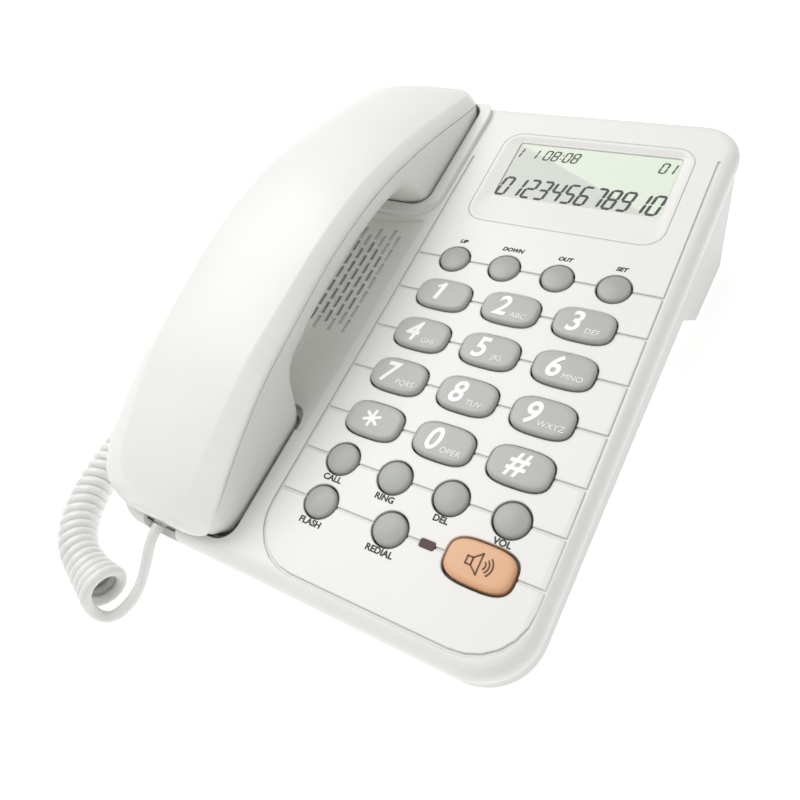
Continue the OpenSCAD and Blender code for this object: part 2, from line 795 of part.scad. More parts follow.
module line_socket() {
    h = line_opening[1] / 2;
    w = line_opening[0] / 2;
    color(black_colour) difference() {
        union() {
            block(line_x - line_body[0] / 2, line_x + line_body[0] / 2, rear_wall_y - wall - line_body[1],
                rear_wall_y - wall - eps, line_z - line_body[2] / 2, line_z + line_body[2] / 2);
            block(line_x - line_body[0] / 2 + line_step, line_x + line_body[0] / 2 - line_step,
                rear_wall_y - wall - past, rear_wall_y - line_face_gap,
                line_z - line_body[2] / 2 + line_step, line_z + line_body[2] / 2 - line_step);
        }
        y0 = rear_wall_y - line_bore;
        y1 = rear_wall_y + past;
        block(line_x - w, line_x + w, y0, y1, line_z - h, line_z + h);
        for (n = line_notches) block(line_x - n[0], line_x + n[0], y0, y1, line_z - h - n[1], line_z);
    }
}
socket_face = -73.5;
module cord_socket() {
    color(black_colour) on_panel() translate([socket_face, cord_socket_y, cord_socket_z]) difference() {
        block(0, cord_body[0], -cord_body[1] / 2, cord_body[1] / 2, -cord_body[2] / 2, cord_body[2] / 2);
        block(-past, cord_bore, -cord_opening[0] / 2, cord_opening[0] / 2,
            -cord_opening[1] / 2, cord_opening[1] / 2);
    }
}
plug_size = [7.6, 6.6];
plug_length = 13;
plug_proud = 2.6;
collar_length = 4;
collar_radii = [2.2, 2.8];
module plug_body(long, collar) {
    block(-plug_size[0] / 2, plug_size[0] / 2, 0, long, -plug_size[1] / 2, plug_size[1] / 2);
    translate([0, -collar, 0]) rotate([-90, 0, 0])
        cylinder(r1 = collar_radii[0], r2 = collar_radii[1], h = collar + eps);
}
module base_plug() {
    color(clear_colour) on_panel() translate([socket_face - plug_proud, cord_socket_y, cord_socket_z])
        rotate([0, 0, -90]) plug_body(plug_length, collar_length);
}

// Handset: a lofted arch. Columns of the tables: distance along the handset, value
table_half = 24.8;
half_table = [[1, 9], [1.8, 13], [2.8, 17], [4, 19.8], [5, 21.2], [6, 22.2], [8, 23.4], [12, 24.4],
    [16, 24.8], [180, 24.8], [192, 24.2], [196, 22.8], [200, 19.8], [203, 14]];
top_table = [[1, 5], [2.5, 8.3], [4, 10], [6, 12], [12, 16.2], [20, 19.8], [33, 24.6], [52, 29.8], [70, 32.9],
    [90, 34.6], [107, 34.8], [125, 33.2], [145, 29], [163, 23.6], [180, 17.4], [192, 12.4], [198, 9],
    [201, 6.2], [203, 3.6]];
seam_table = [[1, 1.2], [2.8, 2.6], [4, 4.4], [5, 5.8], [6, 7], [8, 8.9], [12, 11.4], [16, 13.4], [20, 15],
    [33, 19.5], [48, 23.5], [66, 25.8], [96, 28.2], [115, 27.2], [130, 25], [145, 21.2], [161, 16.3],
    [178, 10.2], [193, 4.4], [198, 2], [203, 1.2]];
bottom_table = [[4, -2.6], [5, -4.4], [7, -6.8], [9, -8.2], [12, -8.4], [44, -8.4], [49, -6], [52, 0],
    [54.5, 6], [58, 10.5], [64, 13.8], [75, 16.6], [90, 18], [105, 18.2],
    [120, 17], [130, 14.8], [136, 12], [140, 8],
    [143, 2], [145.5, -4], [149, -8], [152, -8.4], [190, -8.4], [194, -6.6], [197.5, -2.6]];
crease_table = [[1, 6.3], [4, 13], [7, 12.5], [10, 10.8], [22, 9.5], [40, 8], [90, 5.6], [160, 5],
    [203, 4]];
loft_y = [1, 1.8, 2.8, 4, 5, 6, 7, 9, 12, 16, 20, 26, 33, 42, 49, 52, 54.5, 58, 64, 75, 90, 105, 120,
    130, 136, 140, 143, 145.5, 149, 152, 160, 170, 180, 186, 190, 194, 197.5, 200, 203];
crease_rise = 3.6;
function half_at(y) = lookup(y, half_table) * handset_half_width / table_half;
function top_at(y) = lookup(y, top_table);
function seam_at(y) = lookup(y, seam_table);
function bottom_at(y) = lookup(y, bottom_table);
function crease_at(y) = lookup(y, crease_table);
// Shares that shape the section: of the side band, and of the crowned top
band_share = 0.7;
crease_least = 0.3;
band_lean = 0.2;
band_low = 0.35;
band_high = [0.45, 0.8];
crown_low = [0.7, 0.51];
crown_high = [0.35, 0.88];
// Upper section: seam edge, side band, crease, crowned top; t is how far it is inset
function upper_ring(y, t, dip) =
    let (a = half_at(y) - t, s = seam_at(y) - t, h = top_at(y) - t,
         band = min(crease_rise, (h - s) * band_share),
         c = max(a - crease_at(y), a * crease_least), zc = s + band, crown = h - zc,
         half = [[a, s + t - dip], [a - band_lean, s + band * band_low],
                 [a - (a - c) * band_high[0], s + band * band_high[1]], [c, zc],
                 [c * crown_low[0], zc + crown * crown_low[1]],
                 [c * crown_high[0], zc + crown * crown_high[1]]])
    concat([for (p = half) [p[0], y, p[1]]], [[0, y, h]], [for (i = [5:-1:0]) [-half[i][0], y, half[i][1]]]);
// Lower section: side wall, rounded bottom corner, flat bottom
bottom_corner = 10;
corner_share = 0.8;
function lower_ring(y, t, dip) =
    let (a = half_at(y) - t, s = seam_at(y) + dip, b = bottom_at(y) + t,
         r = min(bottom_corner, (s - b) * corner_share))
    concat([[-a, y, s]], [for (g = [180:22.5:270]) [-a + r + r * cos(g), y, b + r + r * sin(g)]],
           [for (g = [270:22.5:360]) [a - r + r * cos(g), y, b + r + r * sin(g)]], [[a, y, s]]);
// Skin over a row of rings that turn counter-clockwise seen from the first one
module loft(rings) {
    n = len(rings[0]);
    m = len(rings);
    polyhedron(points = [for (r = rings) for (p = r) p],
        faces = concat([[for (i = [n - 1:-1:0]) i]],
            [for (j = [0:m - 2]) for (i = [0:n - 1]) [j * n + i, j * n + (i + 1) % n,
                (j + 1) * n + (i + 1) % n, (j + 1) * n + i]],
            [[for (i = [0:n - 1]) (m - 1) * n + i]]));
}
module upper_loft(t, dip, y0, y1) {
    loft([for (y = loft_y) if (y >= y0 && y <= y1) upper_ring(y, t, dip)]);
}
module lower_loft(t, dip, y0, y1) {
    loft([for (y = loft_y) if (y >= y0 && y <= y1) lower_ring(y, t, dip)]);
}
jack_size = [10.4, 12, 8.4];
jack_y = 9.1;
jack_bore = 10;
jack_window = [4.2, 3.7];
seam_gap = 0.06;
module jack_hole() {
    translate([jack_shift, 0, jack_drop])
        block(-jack_window[0], jack_window[0], 0, jack_y + past, -jack_window[1], jack_window[1]);
}
receiver_y = 166;
capsule_y = 27;
sound_hole = 0.9;
hole_circle = 4;
hole_top = -5;
// Where the shells and their hollows begin and end along the handset
upper_y = [1, 203];
upper_inner_y = [6, 194];
lower_y = [4, 197.5];
lower_inner_y = [9, 190];
inner_dip = 3;
post_foot = -7;
pilot_reach = 12.5;
shank_reach = 12;
receiver_radii = [14, 10];
receiver_z = [-5.9, -1.5, 1];
capsule_radius = 5;
capsule_z = [-6.35, -1.4];
weight_half = 7;
weight_y = [72, 118];
weight_z = [20.5, 25.5];
// Screws: [distance along the handset, height of the head's seat]
handset_posts = [[40, 6], [186, -2]];
post_radius = 4;
post_gap = 0.1;
module handset_top_shell() {
    color(shell_colour) on_panel() translate([cradle_x, 0, 0]) difference() {
        union() {
            difference() {
                upper_loft(0, -seam_gap, upper_y[0], upper_y[1]);
                upper_loft(handset_wall, inner_dip, upper_inner_y[0], upper_inner_y[1]);
            }
            for (p = handset_posts) intersection() {
                post(0, p[0], boss_radius, p[1] + post_radius + post_gap, tray_top);
                union() {
                    upper_loft(handset_wall / 2, 0, upper_inner_y[0], upper_y[1]);
                    post(0, p[0], boss_radius, p[1] + post_radius + post_gap, seam_at(p[0]) + past);
                }
            }
        }
        for (p = handset_posts) post(0, p[0], pilot_radius, 0, p[1] + pilot_reach);
        jack_hole();
    }
}
module handset_bottom_shell() {
    color(shell_colour) on_panel() translate([cradle_x, 0, 0]) difference() {
        union() {
            difference() {
                lower_loft(0, 0, lower_y[0], lower_y[1]);
                lower_loft(handset_wall, inner_dip, lower_inner_y[0], lower_inner_y[1]);
            }
            for (p = handset_posts) post(0, p[0], post_radius, post_foot, p[1] + post_radius);
        }
        for (p = handset_posts) {
            post(0, p[0], screw_clear, -deep, p[1] + post_radius + past);
            post(0, p[0], head_clear, -deep, p[1]);
        }
        jack_hole();
        for (a = [0:60:300])
            post(hole_circle * cos(a), receiver_y + hole_circle * sin(a), sound_hole, -deep, hole_top);
        for (y = [receiver_y, capsule_y]) post(0, y, sound_hole, -deep, hole_top);
    }
}
module receiver_capsule() {
    color(black_colour) on_panel() {
        post(cradle_x, receiver_y, receiver_radii[0], receiver_z[0], receiver_z[1]);
        post(cradle_x, receiver_y, receiver_radii[1], receiver_z[1] - eps, receiver_z[2]);
    }
}
module microphone_capsule() {
    color(black_colour) on_panel() post(cradle_x, capsule_y, capsule_radius, capsule_z[0], capsule_z[1]);
}
module handset_socket() {
    color(black_colour) on_panel() translate([jack_x, jack_y, jack_drop]) difference() {
        block(-jack_size[0] / 2, jack_size[0] / 2, 0, jack_size[1], -jack_size[2] / 2, jack_size[2] / 2);
        block(-cord_opening[0] / 2, cord_opening[0] / 2, -past, jack_bore,
            -cord_opening[1] / 2, cord_opening[1] / 2);
    }
}
module handset_weight() {
    color(steel_colour) on_panel()
        block(cradle_x - weight_half, cradle_x + weight_half, weight_y[0], weight_y[1],
            weight_z[0], weight_z[1]);
}
module handset_screws() {
    color(steel_colour) on_panel() for (p = handset_posts) difference() {
        union() {
            post(cradle_x, p[0], shank_radius, p[1] - eps, p[1] + shank_reach);
            post(cradle_x, p[0], head_radius, p[1] - head_height, p[1]);
        }
        cross_slot(cradle_x, p[0], p[1] - head_height);
    }
}
module handset_plug() {
    color(clear_colour) on_panel() translate([jack_x, plug_start, jack_drop])
        plug_body(plug_length, collar_length);
}

// Cords: routes on the table, front left of the base and along its left side
plug_start = 4.4;
coil_route = [[-57, -122.4, 6.7], [-69, -119.4, 6.7], [-79.5, -115.2, 6.7], [-87, -108.3, 6.7],
    [-92, -99.5, 6.7], [-95, -90, 6.7], [-97, -78, 6.7], [-99.5, -64, 6.7],
    [-102, -48, 6.7], [-104, -30, 6.7], [-105, -12, 6.7],
    [-105.5, 6, 6.7], [-105.5, 24, 6.7], [-105, 40, 6.7]];
handset_tail_route = [[-48.7, -99.5, 17.8], [-48.9, -102.1, 17.1], [-49.6, -105.2, 14.4],
    [-50.2, -108.4, 10.8], [-50.7, -112, 7], [-51.1, -116, 3.9], [-51.8, -120.2, 2.1],
    [-53.2, -124.4, 2], [-55.6, -127.4, 2.4], [-57.8, -128, 4]];
base_tail_route = [[-80.4, -32.5, 18.9], [-83.5, -32.4, 18], [-86, -31, 13.5], [-87.2, -27.5, 8],
    [-87.8, -21, 3.6], [-88, -12, 2], [-88, 4, 1.9], [-88, 20, 1.9], [-88.3, 34, 1.9],
    [-90, 43, 1.9], [-93.8, 48.6, 1.9],
    [-97.8, 48.6, 2], [-100.2, 44.5, 3], [-101.2, 38.5, 4]];
function unit(v) = v / norm(v);
// Smooth curve through the route points (Catmull-Rom), n steps between neighbours
function curve_at(a, b, c, d, t) =
    0.5 * (2 * b + (c - a) * t + (2 * a - 5 * b + 4 * c - d) * t * t + (3 * b - a - 3 * c + d) * t * t * t);
function smooth(p, n) =
    let (m = len(p))
    concat([for (i = [0:m - 2]) for (k = [0:n - 1])
        curve_at(p[max(i - 1, 0)], p[i], p[i + 1], p[min(i + 2, m - 1)], k / n)], [p[m - 1]]);
function cord_ring(c, along, r, sides) =
    let (side = unit(cross(along, [0, 0, 1])), up = cross(side, along))
    [for (k = [0:sides - 1]) let (a = 360 * k / sides) c + r * (cos(a) * side + sin(a) * up)];
module tube(route, r, sides, n) {
    path = smooth(route, n);
    last = len(path) - 1;
    loft([for (i = [0:last]) let (along = unit(path[min(i + 1, last)] - path[max(i - 1, 0)]))
        cord_ring(path[i], along, r, sides)]);
}
module curly_cord() {
    color(cord_colour) tube(coil_route, coil_diameter / 2, 12, 1);
}
module handset_tail() {
    color(cord_colour) tube(handset_tail_route, cord_diameter / 2, 8, 2);
}
module base_tail() {
    color(cord_colour) tube(base_tail_route, cord_diameter / 2, 8, 2);
}

base_top_cover();
base_bottom_cover();
rubber_feet();
base_screws();
ballast_plate();
battery_cover();
battery_cells();
battery_contacts();
keypad_membrane();
keypad_board();
main_board();
flat_cable();
display_bezel();
display_window();
display_panel();
indicator_lens();
indicator_led();
loudspeaker();
handsfree_microphone();
hook_button();
hook_spring();
hook_switch();
line_socket();
cord_socket();
number_key(0);  // key_1
number_key(1);  // key_2
number_key(2);  // key_3
number_key(3);  // key_4
number_key(4);  // key_5
number_key(5);  // key_6
number_key(6);  // key_7
number_key(7);  // key_8
number_key(8);  // key_9
number_key(9);  // key_star
number_key(10);  // key_0
number_key(11);  // key_hash
function_key(upper_places[0]);  // key_scroll_up
function_key(upper_places[1]);  // key_scroll_down
function_key(upper_places[2]);  // key_dial_out
function_key(upper_places[3]);  // key_set
function_key(lower_places[0]);  // key_call_back
function_key(lower_places[1]);  // key_ringer
function_key(lower_places[2]);  // key_delete
function_key(lower_places[3]);  // key_volume
function_key(last_places[0]);  // key_flash
function_key(last_places[1]);  // key_redial
key_loudspeaker();
handset_top_shell();
handset_bottom_shell();
receiver_capsule();
microphone_capsule();
handset_socket();
handset_weight();
handset_screws();
handset_plug();
handset_tail();
curly_cord();
base_tail();
base_plug();
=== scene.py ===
import json
import math

import bpy
import numpy as np
from mathutils import Matrix, Vector


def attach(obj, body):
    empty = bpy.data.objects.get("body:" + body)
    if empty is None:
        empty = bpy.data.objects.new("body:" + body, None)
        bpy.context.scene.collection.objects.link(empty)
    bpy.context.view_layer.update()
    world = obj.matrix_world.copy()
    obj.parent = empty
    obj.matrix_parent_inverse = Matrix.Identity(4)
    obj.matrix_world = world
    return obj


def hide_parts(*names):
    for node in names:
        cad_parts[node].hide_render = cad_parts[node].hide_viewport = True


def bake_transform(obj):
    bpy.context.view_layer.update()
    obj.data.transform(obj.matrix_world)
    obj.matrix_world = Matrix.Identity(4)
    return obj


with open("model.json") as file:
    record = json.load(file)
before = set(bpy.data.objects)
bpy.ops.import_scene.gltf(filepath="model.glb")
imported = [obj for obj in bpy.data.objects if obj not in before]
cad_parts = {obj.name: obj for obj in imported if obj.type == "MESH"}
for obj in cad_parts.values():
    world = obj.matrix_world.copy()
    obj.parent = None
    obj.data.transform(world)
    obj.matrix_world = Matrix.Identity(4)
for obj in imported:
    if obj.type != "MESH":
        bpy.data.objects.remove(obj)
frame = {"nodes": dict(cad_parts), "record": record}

# Looks of a corded telephone with caller display. Shapes are worked out in millimetres and
# turned into metres when a mesh is made. "Panel" coordinates are x across, y up the slope from
# the base's front edge and z out of the sloping panel, as in the CAD source.

MM = 0.001
PANEL_TILT = math.radians(10)
PANEL = Matrix.Translation((0, -99.5, 19)) @ Matrix.Rotation(PANEL_TILT, 4, "X")
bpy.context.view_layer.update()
CRADLE_X = -47.2                           # the handset's middle, across the panel


# ---------------------------------------------------------------- camera

CAMERA_PLACE = Vector((108.17, -146.0, 194.76))
CAMERA_AIM = Vector((13.16, -41.65, 40.0))
CAMERA_ROLL = math.radians(-16.95)
CAMERA_LENS = 31.98


def make_camera():
    data = bpy.data.cameras.new("camera")
    data.lens = CAMERA_LENS
    data.sensor_width = 36
    data.clip_start = 0.01
    camera = bpy.data.objects.new("camera", data)
    bpy.context.scene.collection.objects.link(camera)
    aim = (CAMERA_AIM - CAMERA_PLACE).to_track_quat("-Z", "Y").to_matrix().to_4x4()
    roll = Matrix.Rotation(CAMERA_ROLL, 4, "Z")
    camera.matrix_world = Matrix.Translation(CAMERA_PLACE * MM) @ aim @ roll
    bpy.context.scene.camera = camera


make_camera()


# ---------------------------------------------------------------- small tools

def hermite_table(table):
    """Smooth function through (place, value) pairs that never overshoots them."""
    x = np.array([p[0] for p in table], float)
    v = np.array([p[1] for p in table], float)
    step = np.diff(x)
    rise = np.diff(v) / step
    slope = np.zeros(len(x))
    slope[0], slope[-1] = rise[0], rise[-1]
    for i in range(1, len(x) - 1):
        if rise[i - 1] * rise[i] > 0:
            slope[i] = 2 * rise[i - 1] * rise[i] / (rise[i - 1] + rise[i])

    def value(at):
        at = min(max(at, x[0]), x[-1])
        i = min(int(np.searchsorted(x, at, side="right")) - 1, len(step) - 1)
        t = (at - x[i]) / step[i]
        keep = (1 + 2 * t) * (1 - t) ** 2 * v[i] + t * t * (3 - 2 * t) * v[i + 1]
        return keep + step[i] * (t * (1 - t) ** 2 * slope[i] - t * t * (1 - t) * slope[i + 1])

    return value


def chaikin(points, rounds=3):
    """Rounds an open line of points by cutting its corners."""
    line = np.array(points, float)
    for _ in range(rounds):
        a, b = line[:-1], line[1:]
        cut = np.empty((2 * len(a), line.shape[1]))
        cut[0::2], cut[1::2] = 0.75 * a + 0.25 * b, 0.25 * a + 0.75 * b
        line = np.vstack([line[:1], cut[1:-1], line[-1:]])
    return line


def catmull(points, steps):
    """Smooth curve through route points, with the same spline as the CAD source."""
    p = np.array(points, float)
    out = []
    last = len(p) - 1
    for i in range(last):
        a, b, c, d = p[max(i - 1, 0)], p[i], p[i + 1], p[min(i + 2, last)]
        for k in range(steps):
            t = k / steps
            out.append(0.5 * (2 * b + (c - a) * t + (2 * a - 5 * b + 4 * c - d) * t * t
                              + (3 * b - a - 3 * c + d) * t ** 3))
    out.append(p[-1])
    return np.array(out)


def ring_faces(rings, around, cap_start=True, cap_end=True):
    faces = []
    for j in range(rings - 1):
        for i in range(around):
            n = (i + 1) % around
            faces.append((j * around + i, j * around + n, (j + 1) * around + n, (j + 1) * around + i))
    if cap_start:
        faces.append(tuple(range(around - 1, -1, -1)))
    if cap_end:
        faces.append(tuple((rings - 1) * around + i for i in range(around)))
    return faces


def add_piece(name, points, faces, material, body, slot, on=Matrix.Identity(4), sharp=35):
    """A mesh piece from points in millimetres, placed by the matrix on, that rides on a CAD body."""
    mesh = bpy.data.meshes.new(name)
    place = np.array(on)
    p = np.array(points, float) @ place[:3, :3].T + place[:3, 3]
    mesh.from_pydata((p * MM).tolist(), [], faces)
    mesh.materials.append(material)
    for face in mesh.polygons:
        face.use_smooth = True
    mesh.set_sharp_from_angle(angle=math.radians(sharp))
    piece = bpy.data.objects.new(name, mesh)
    bpy.context.scene.collection.objects.link(piece)
    if body:
        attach(piece, body)
    return piece


def panel_box(node):
    """Lowest and highest corner of a CAD node in panel coordinates, in millimetres."""
    mesh = frame["nodes"][node].data
    co = np.empty(len(mesh.vertices) * 3)
    mesh.vertices.foreach_get("co", co)
    place = np.array(PANEL.inverted())
    p = co.reshape(-1, 3) / MM @ place[:3, :3].T + place[:3, 3]
    return p.min(0), p.max(0)


def apply_cut(piece, cutters):
    """Cuts closed shapes out of a piece and drops them."""
    for cutter in cutters:
        cut = piece.modifiers.new("cut", "BOOLEAN")
        cut.object = cutter
        cut.operation = "DIFFERENCE"
        cut.solver = "EXACT"
    bpy.context.view_layer.update()
    graph = bpy.context.evaluated_depsgraph_get()
    mesh = bpy.data.meshes.new_from_object(piece.evaluated_get(graph))
    piece.modifiers.clear()
    piece.data = mesh
    mesh.set_sharp_from_angle(angle=math.radians(35))
    for cutter in cutters:
        bpy.data.objects.remove(cutter)


# ---------------------------------------------------------------- materials

def plastic(name, colour, rough=0.42, grain=0.35, bump=0.06, bevel=0.0, shade=0.03, coat=0.0):
    """Moulded plastic: a fine spark-eroded grain, slight unevenness of tone and gloss, and edges
    that are a little round. grain is in millimetres."""
    m = bpy.data.materials.new(name)
    m.use_nodes = True
    nodes, links = m.node_tree.nodes, m.node_tree.links
    shader = nodes["Principled BSDF"]
    shader.inputs["Coat Weight"].default_value = coat
    where = nodes.new("ShaderNodeTexCoord")
    fine = nodes.new("ShaderNodeTexNoise")
    fine.inputs["Scale"].default_value = 1 / (grain * MM)
    fine.inputs["Detail"].default_value = 3
    links.new(where.outputs["Object"], fine.inputs["Vector"])
    broad = nodes.new("ShaderNodeTexNoise")
    broad.inputs["Scale"].default_value = 45
    broad.inputs["Detail"].default_value = 4
    links.new(where.outputs["Object"], broad.inputs["Vector"])
    tone = nodes.new("ShaderNodeMix")
    tone.data_type = "RGBA"
    tone.inputs["A"].default_value = (*[c * (1 - shade) for c in colour], 1)
    tone.inputs["B"].default_value = (*[min(1, c * (1 + shade)) for c in colour], 1)
    links.new(broad.outputs["Fac"], tone.inputs["Factor"])
    links.new(tone.outputs["Result"], shader.inputs["Base Color"])
    gloss = nodes.new("ShaderNodeMapRange")
    gloss.inputs["To Min"].default_value = rough - 0.05
    gloss.inputs["To Max"].default_value = rough + 0.05
    links.new(broad.outputs["Fac"], gloss.inputs["Value"])
    links.new(gloss.outputs["Result"], shader.inputs["Roughness"])
    relief = nodes.new("ShaderNodeBump")
    relief.inputs["Strength"].default_value = bump
    relief.inputs["Distance"].default_value = 0.02 * MM
    links.new(fine.outputs["Fac"], relief.inputs["Height"])
    if bevel:
        edge = nodes.new("ShaderNodeBevel")
        edge.samples = 4
        edge.inputs["Radius"].default_value = bevel * MM
        links.new(edge.outputs["Normal"], relief.inputs["Normal"])
    links.new(relief.outputs["Normal"], shader.inputs["Normal"])
    return m


def clear(name, colour, rough, alpha):
    """A see-through plastic."""
    m = plastic(name, colour, rough=rough, bump=0.01, shade=0.0)
    m.node_tree.nodes["Principled BSDF"].inputs["Alpha"].default_value = alpha
    return m


WHITE = plastic("white_abs", (0.83, 0.825, 0.80), rough=0.40, bevel=0.7)
WHITE_SKIN = plastic("white_abs_skin", (0.83, 0.825, 0.80), rough=0.40)
UNDER = plastic("under_abs", (0.74, 0.74, 0.73), rough=0.48, bevel=0.6)
GREY = plastic("grey_key_abs", (0.45, 0.46, 0.44), rough=0.38)
DARK_GREY = plastic("round_key_abs", (0.40, 0.41, 0.395), rough=0.38)
ORANGE = plastic("orange_key_abs", (0.76, 0.43, 0.24), rough=0.38)
CORD = plastic("cord_pvc", (0.80, 0.80, 0.78), rough=0.33, grain=0.8, bump=0.03)
RUBBER = plastic("foot_rubber", (0.03, 0.03, 0.03), rough=0.7, bevel=0.4, shade=0.2)
BLACK = plastic("black_abs", (0.03, 0.03, 0.035), rough=0.5, shade=0.2)
STEEL = plastic("zinc_steel", (0.45, 0.45, 0.47), rough=0.35, grain=0.6, bump=0.1, shade=0.1)
STEEL.node_tree.nodes["Principled BSDF"].inputs["Metallic"].default_value = 1.0
BOARD = plastic("board_green", (0.02, 0.16, 0.07), rough=0.3, grain=1.0, bump=0.1, shade=0.2)
SILICONE = plastic("silicone_sheet", (0.62, 0.63, 0.65), rough=0.55)
RIBBON = plastic("ribbon_cable", (0.70, 0.70, 0.66), rough=0.4)
CELL = plastic("cell_sleeve", (0.30, 0.22, 0.08), rough=0.3, shade=0.1)
RED = plastic("red_lens_acrylic", (0.05, 0.010, 0.010), rough=0.45, bump=0.01)
CLEAR = clear("clear_polycarbonate", (0.85, 0.88, 0.88), 0.12, 0.45)
PANE = clear("display_pane", (0.9, 0.95, 0.9), 0.08, 0.04)
INK = plastic("print_ink", (0.012, 0.012, 0.012), rough=0.5, shade=0.1)
WHITE_INK = plastic("white_print", (0.95, 0.95, 0.94), rough=0.5)
PALE_INK = plastic("pale_print", (0.86, 0.86, 0.85), rough=0.5)
BROWN_INK = plastic("brown_print", (0.12, 0.045, 0.02), rough=0.5)
SEGMENT = plastic("display_segment", (0.004, 0.006, 0.005), rough=0.5)


# The sheen ends along a line across the display: its direction on the table plan, its place
# along that direction and the half width of its edge, in metres
SHEEN_ACROSS = (0.42, 0.908, 0.0)
SHEEN_EDGE = 0.0728
SHEEN_SOFT = 0.4 * MM


def display_face_material():
    """Pale green display, with the grey sheen of a reflection over its left corner."""
    m = plastic("display_face", (0.70, 0.80, 0.66), rough=0.25, bump=0.01, shade=0.01)
    nodes, links = m.node_tree.nodes, m.node_tree.links
    where = nodes.new("ShaderNodeTexCoord")
    across = nodes.new("ShaderNodeVectorMath")
    across.operation = "DOT_PRODUCT"
    across.inputs[1].default_value = SHEEN_ACROSS
    links.new(where.outputs["Object"], across.inputs[0])
    edge = nodes.new("ShaderNodeMapRange")
    edge.inputs["From Min"].default_value = SHEEN_EDGE - SHEEN_SOFT
    edge.inputs["From Max"].default_value = SHEEN_EDGE + SHEEN_SOFT
    links.new(across.outputs["Value"], edge.inputs["Value"])
    mix = nodes.new("ShaderNodeMix")
    mix.data_type = "RGBA"
    mix.inputs["A"].default_value = (0.68, 0.70, 0.65, 1)
    mix.inputs["B"].default_value = (0.80, 0.87, 0.745, 1)
    links.new(edge.outputs["Result"], mix.inputs["Factor"])
    links.new(mix.outputs["Result"], nodes["Principled BSDF"].inputs["Base Color"])
    return m


LCD = display_face_material()

FINISHES = {
    "shell": WHITE, "under_shell": UNDER, "grey_key": GREY, "orange_key": ORANGE,
    "rubber_black": RUBBER, "silicone": SILICONE, "steel": STEEL, "cell": CELL, "board": BOARD,
    "cable": RIBBON, "window": PANE, "lcd": LCD, "red_lens": RED, "black_plastic": BLACK,
    "clear_plug": CLEAR, "cord": CORD,
}


def finish_cad_nodes():
    for part in frame["record"]["subparts"]:
        mesh = frame["nodes"][part["node"]].data
        mesh.materials.clear()
        mesh.materials.append(FINISHES[part["material_slot"]])


finish_cad_nodes()


# ---------------------------------------------------------------- cord

CORD_DIAMETER = 3.6
CORD_RADIUS = CORD_DIAMETER / 2
TURN_RADIUS = 4.7
TURN_PITCH = 3.72
TURN_POINTS = 16
OPEN_RADIUS = 6.6
OPEN_TURNS = 5
CORD_STEP = 1.5
CORD_SIDES = 12
COIL_ROUTE = [(-57, -122.4, 6.7), (-69, -119.4, 6.7), (-79.5, -115.2, 6.7), (-87, -108.3, 6.7),
              (-92, -99.5, 6.7), (-95, -90, 6.7), (-97, -78, 6.7), (-99.5, -64, 6.7), (-102, -48, 6.7),
              (-104, -30, 6.7), (-105, -12, 6.7), (-105.5, 6, 6.7), (-105.5, 24, 6.7), (-105, 40, 6.7)]
HANDSET_TAIL = [(-48.7, -99.5, 17.8), (-48.9, -102.1, 17.1), (-49.6, -105.2, 14.4), (-50.2, -108.4, 10.8),
                (-50.7, -112, 7), (-51.1, -116, 3.9), (-51.6, -120.6, 2.1), (-52.6, -125.2, 1.9),
                (-54, -127.2, 1.9)]
BASE_TAIL = [(-99.7, 47.6, 2.2), (-98, 50.6, 2), (-94.8, 51.8, 1.9), (-91.7, 49.8, 1.9),
             (-89.7, 43.5, 1.9), (-88.6, 34, 1.9), (-88, 20, 1.9), (-88, 4, 1.9), (-88, -12, 2),
             (-87.8, -21, 3.6), (-87.2, -27.5, 8), (-86, -31, 13.5), (-83.5, -32.4, 18),
             (-80.4, -32.5, 18.9)]


def resample(line, step):
    """Points along a line at an even spacing near step."""
    gaps = np.linalg.norm(np.diff(line, axis=0), axis=1)
    at = np.concatenate([[0], np.cumsum(gaps)])
    want = np.linspace(0, at[-1], int(round(at[-1] / step)) + 1)
    return np.column_stack([np.interp(want, at, line[:, k]) for k in range(3)])


def coil_line():
    """The helix: turns beside each other along the coil's route, the first few opened out."""
    middle = resample(catmull(COIL_ROUTE, 24), TURN_PITCH / TURN_POINTS)
    along = np.gradient(middle, axis=0)
    along /= np.linalg.norm(along, axis=1)[:, None]
    up = np.array([0, 0, 1.0])
    flat = np.cross(up, along)
    turns = len(middle) / TURN_POINTS
    out = []
    for i, place in enumerate(middle):
        turn = i / TURN_POINTS
        angle = 2 * math.pi * turn
        opened = max(0.0, 1 - turn / OPEN_TURNS)
        closing = max(0.0, 1 - (turns - turn) / 0.6)
        more = (OPEN_RADIUS - TURN_RADIUS) * opened ** 1.5
        radius = TURN_RADIUS + more - 0.3 * closing
        out.append(place + radius * (math.cos(angle) * flat[i] + math.sin(angle) * up) + more * up)
    stop = int(turns - 0.55) * TURN_POINTS + int(0.55 * TURN_POINTS)
    return np.array(out[:stop])


def bridge(before, after, step, pull=1.1):
    """A smooth curve from the end of one stretch to the start of the next, tangent to both."""
    start, end = before[-1], after[0]
    gap = np.linalg.norm(end - start)
    leave = (before[-1] - before[-2]) / np.linalg.norm(before[-1] - before[-2]) * gap * pull
    arrive = (after[1] - after[0]) / np.linalg.norm(after[1] - after[0]) * gap * pull
    count = max(3, int(gap * 1.3 / step))
    rows = []
    for t in np.linspace(0, 1, count + 1)[1:-1]:
        rows.append((2 * t ** 3 - 3 * t ** 2 + 1) * start + (t ** 3 - 2 * t ** 2 + t) * leave
                    + (3 * t ** 2 - 2 * t ** 3) * end + (t ** 3 - t ** 2) * arrive)
    return np.array(rows)


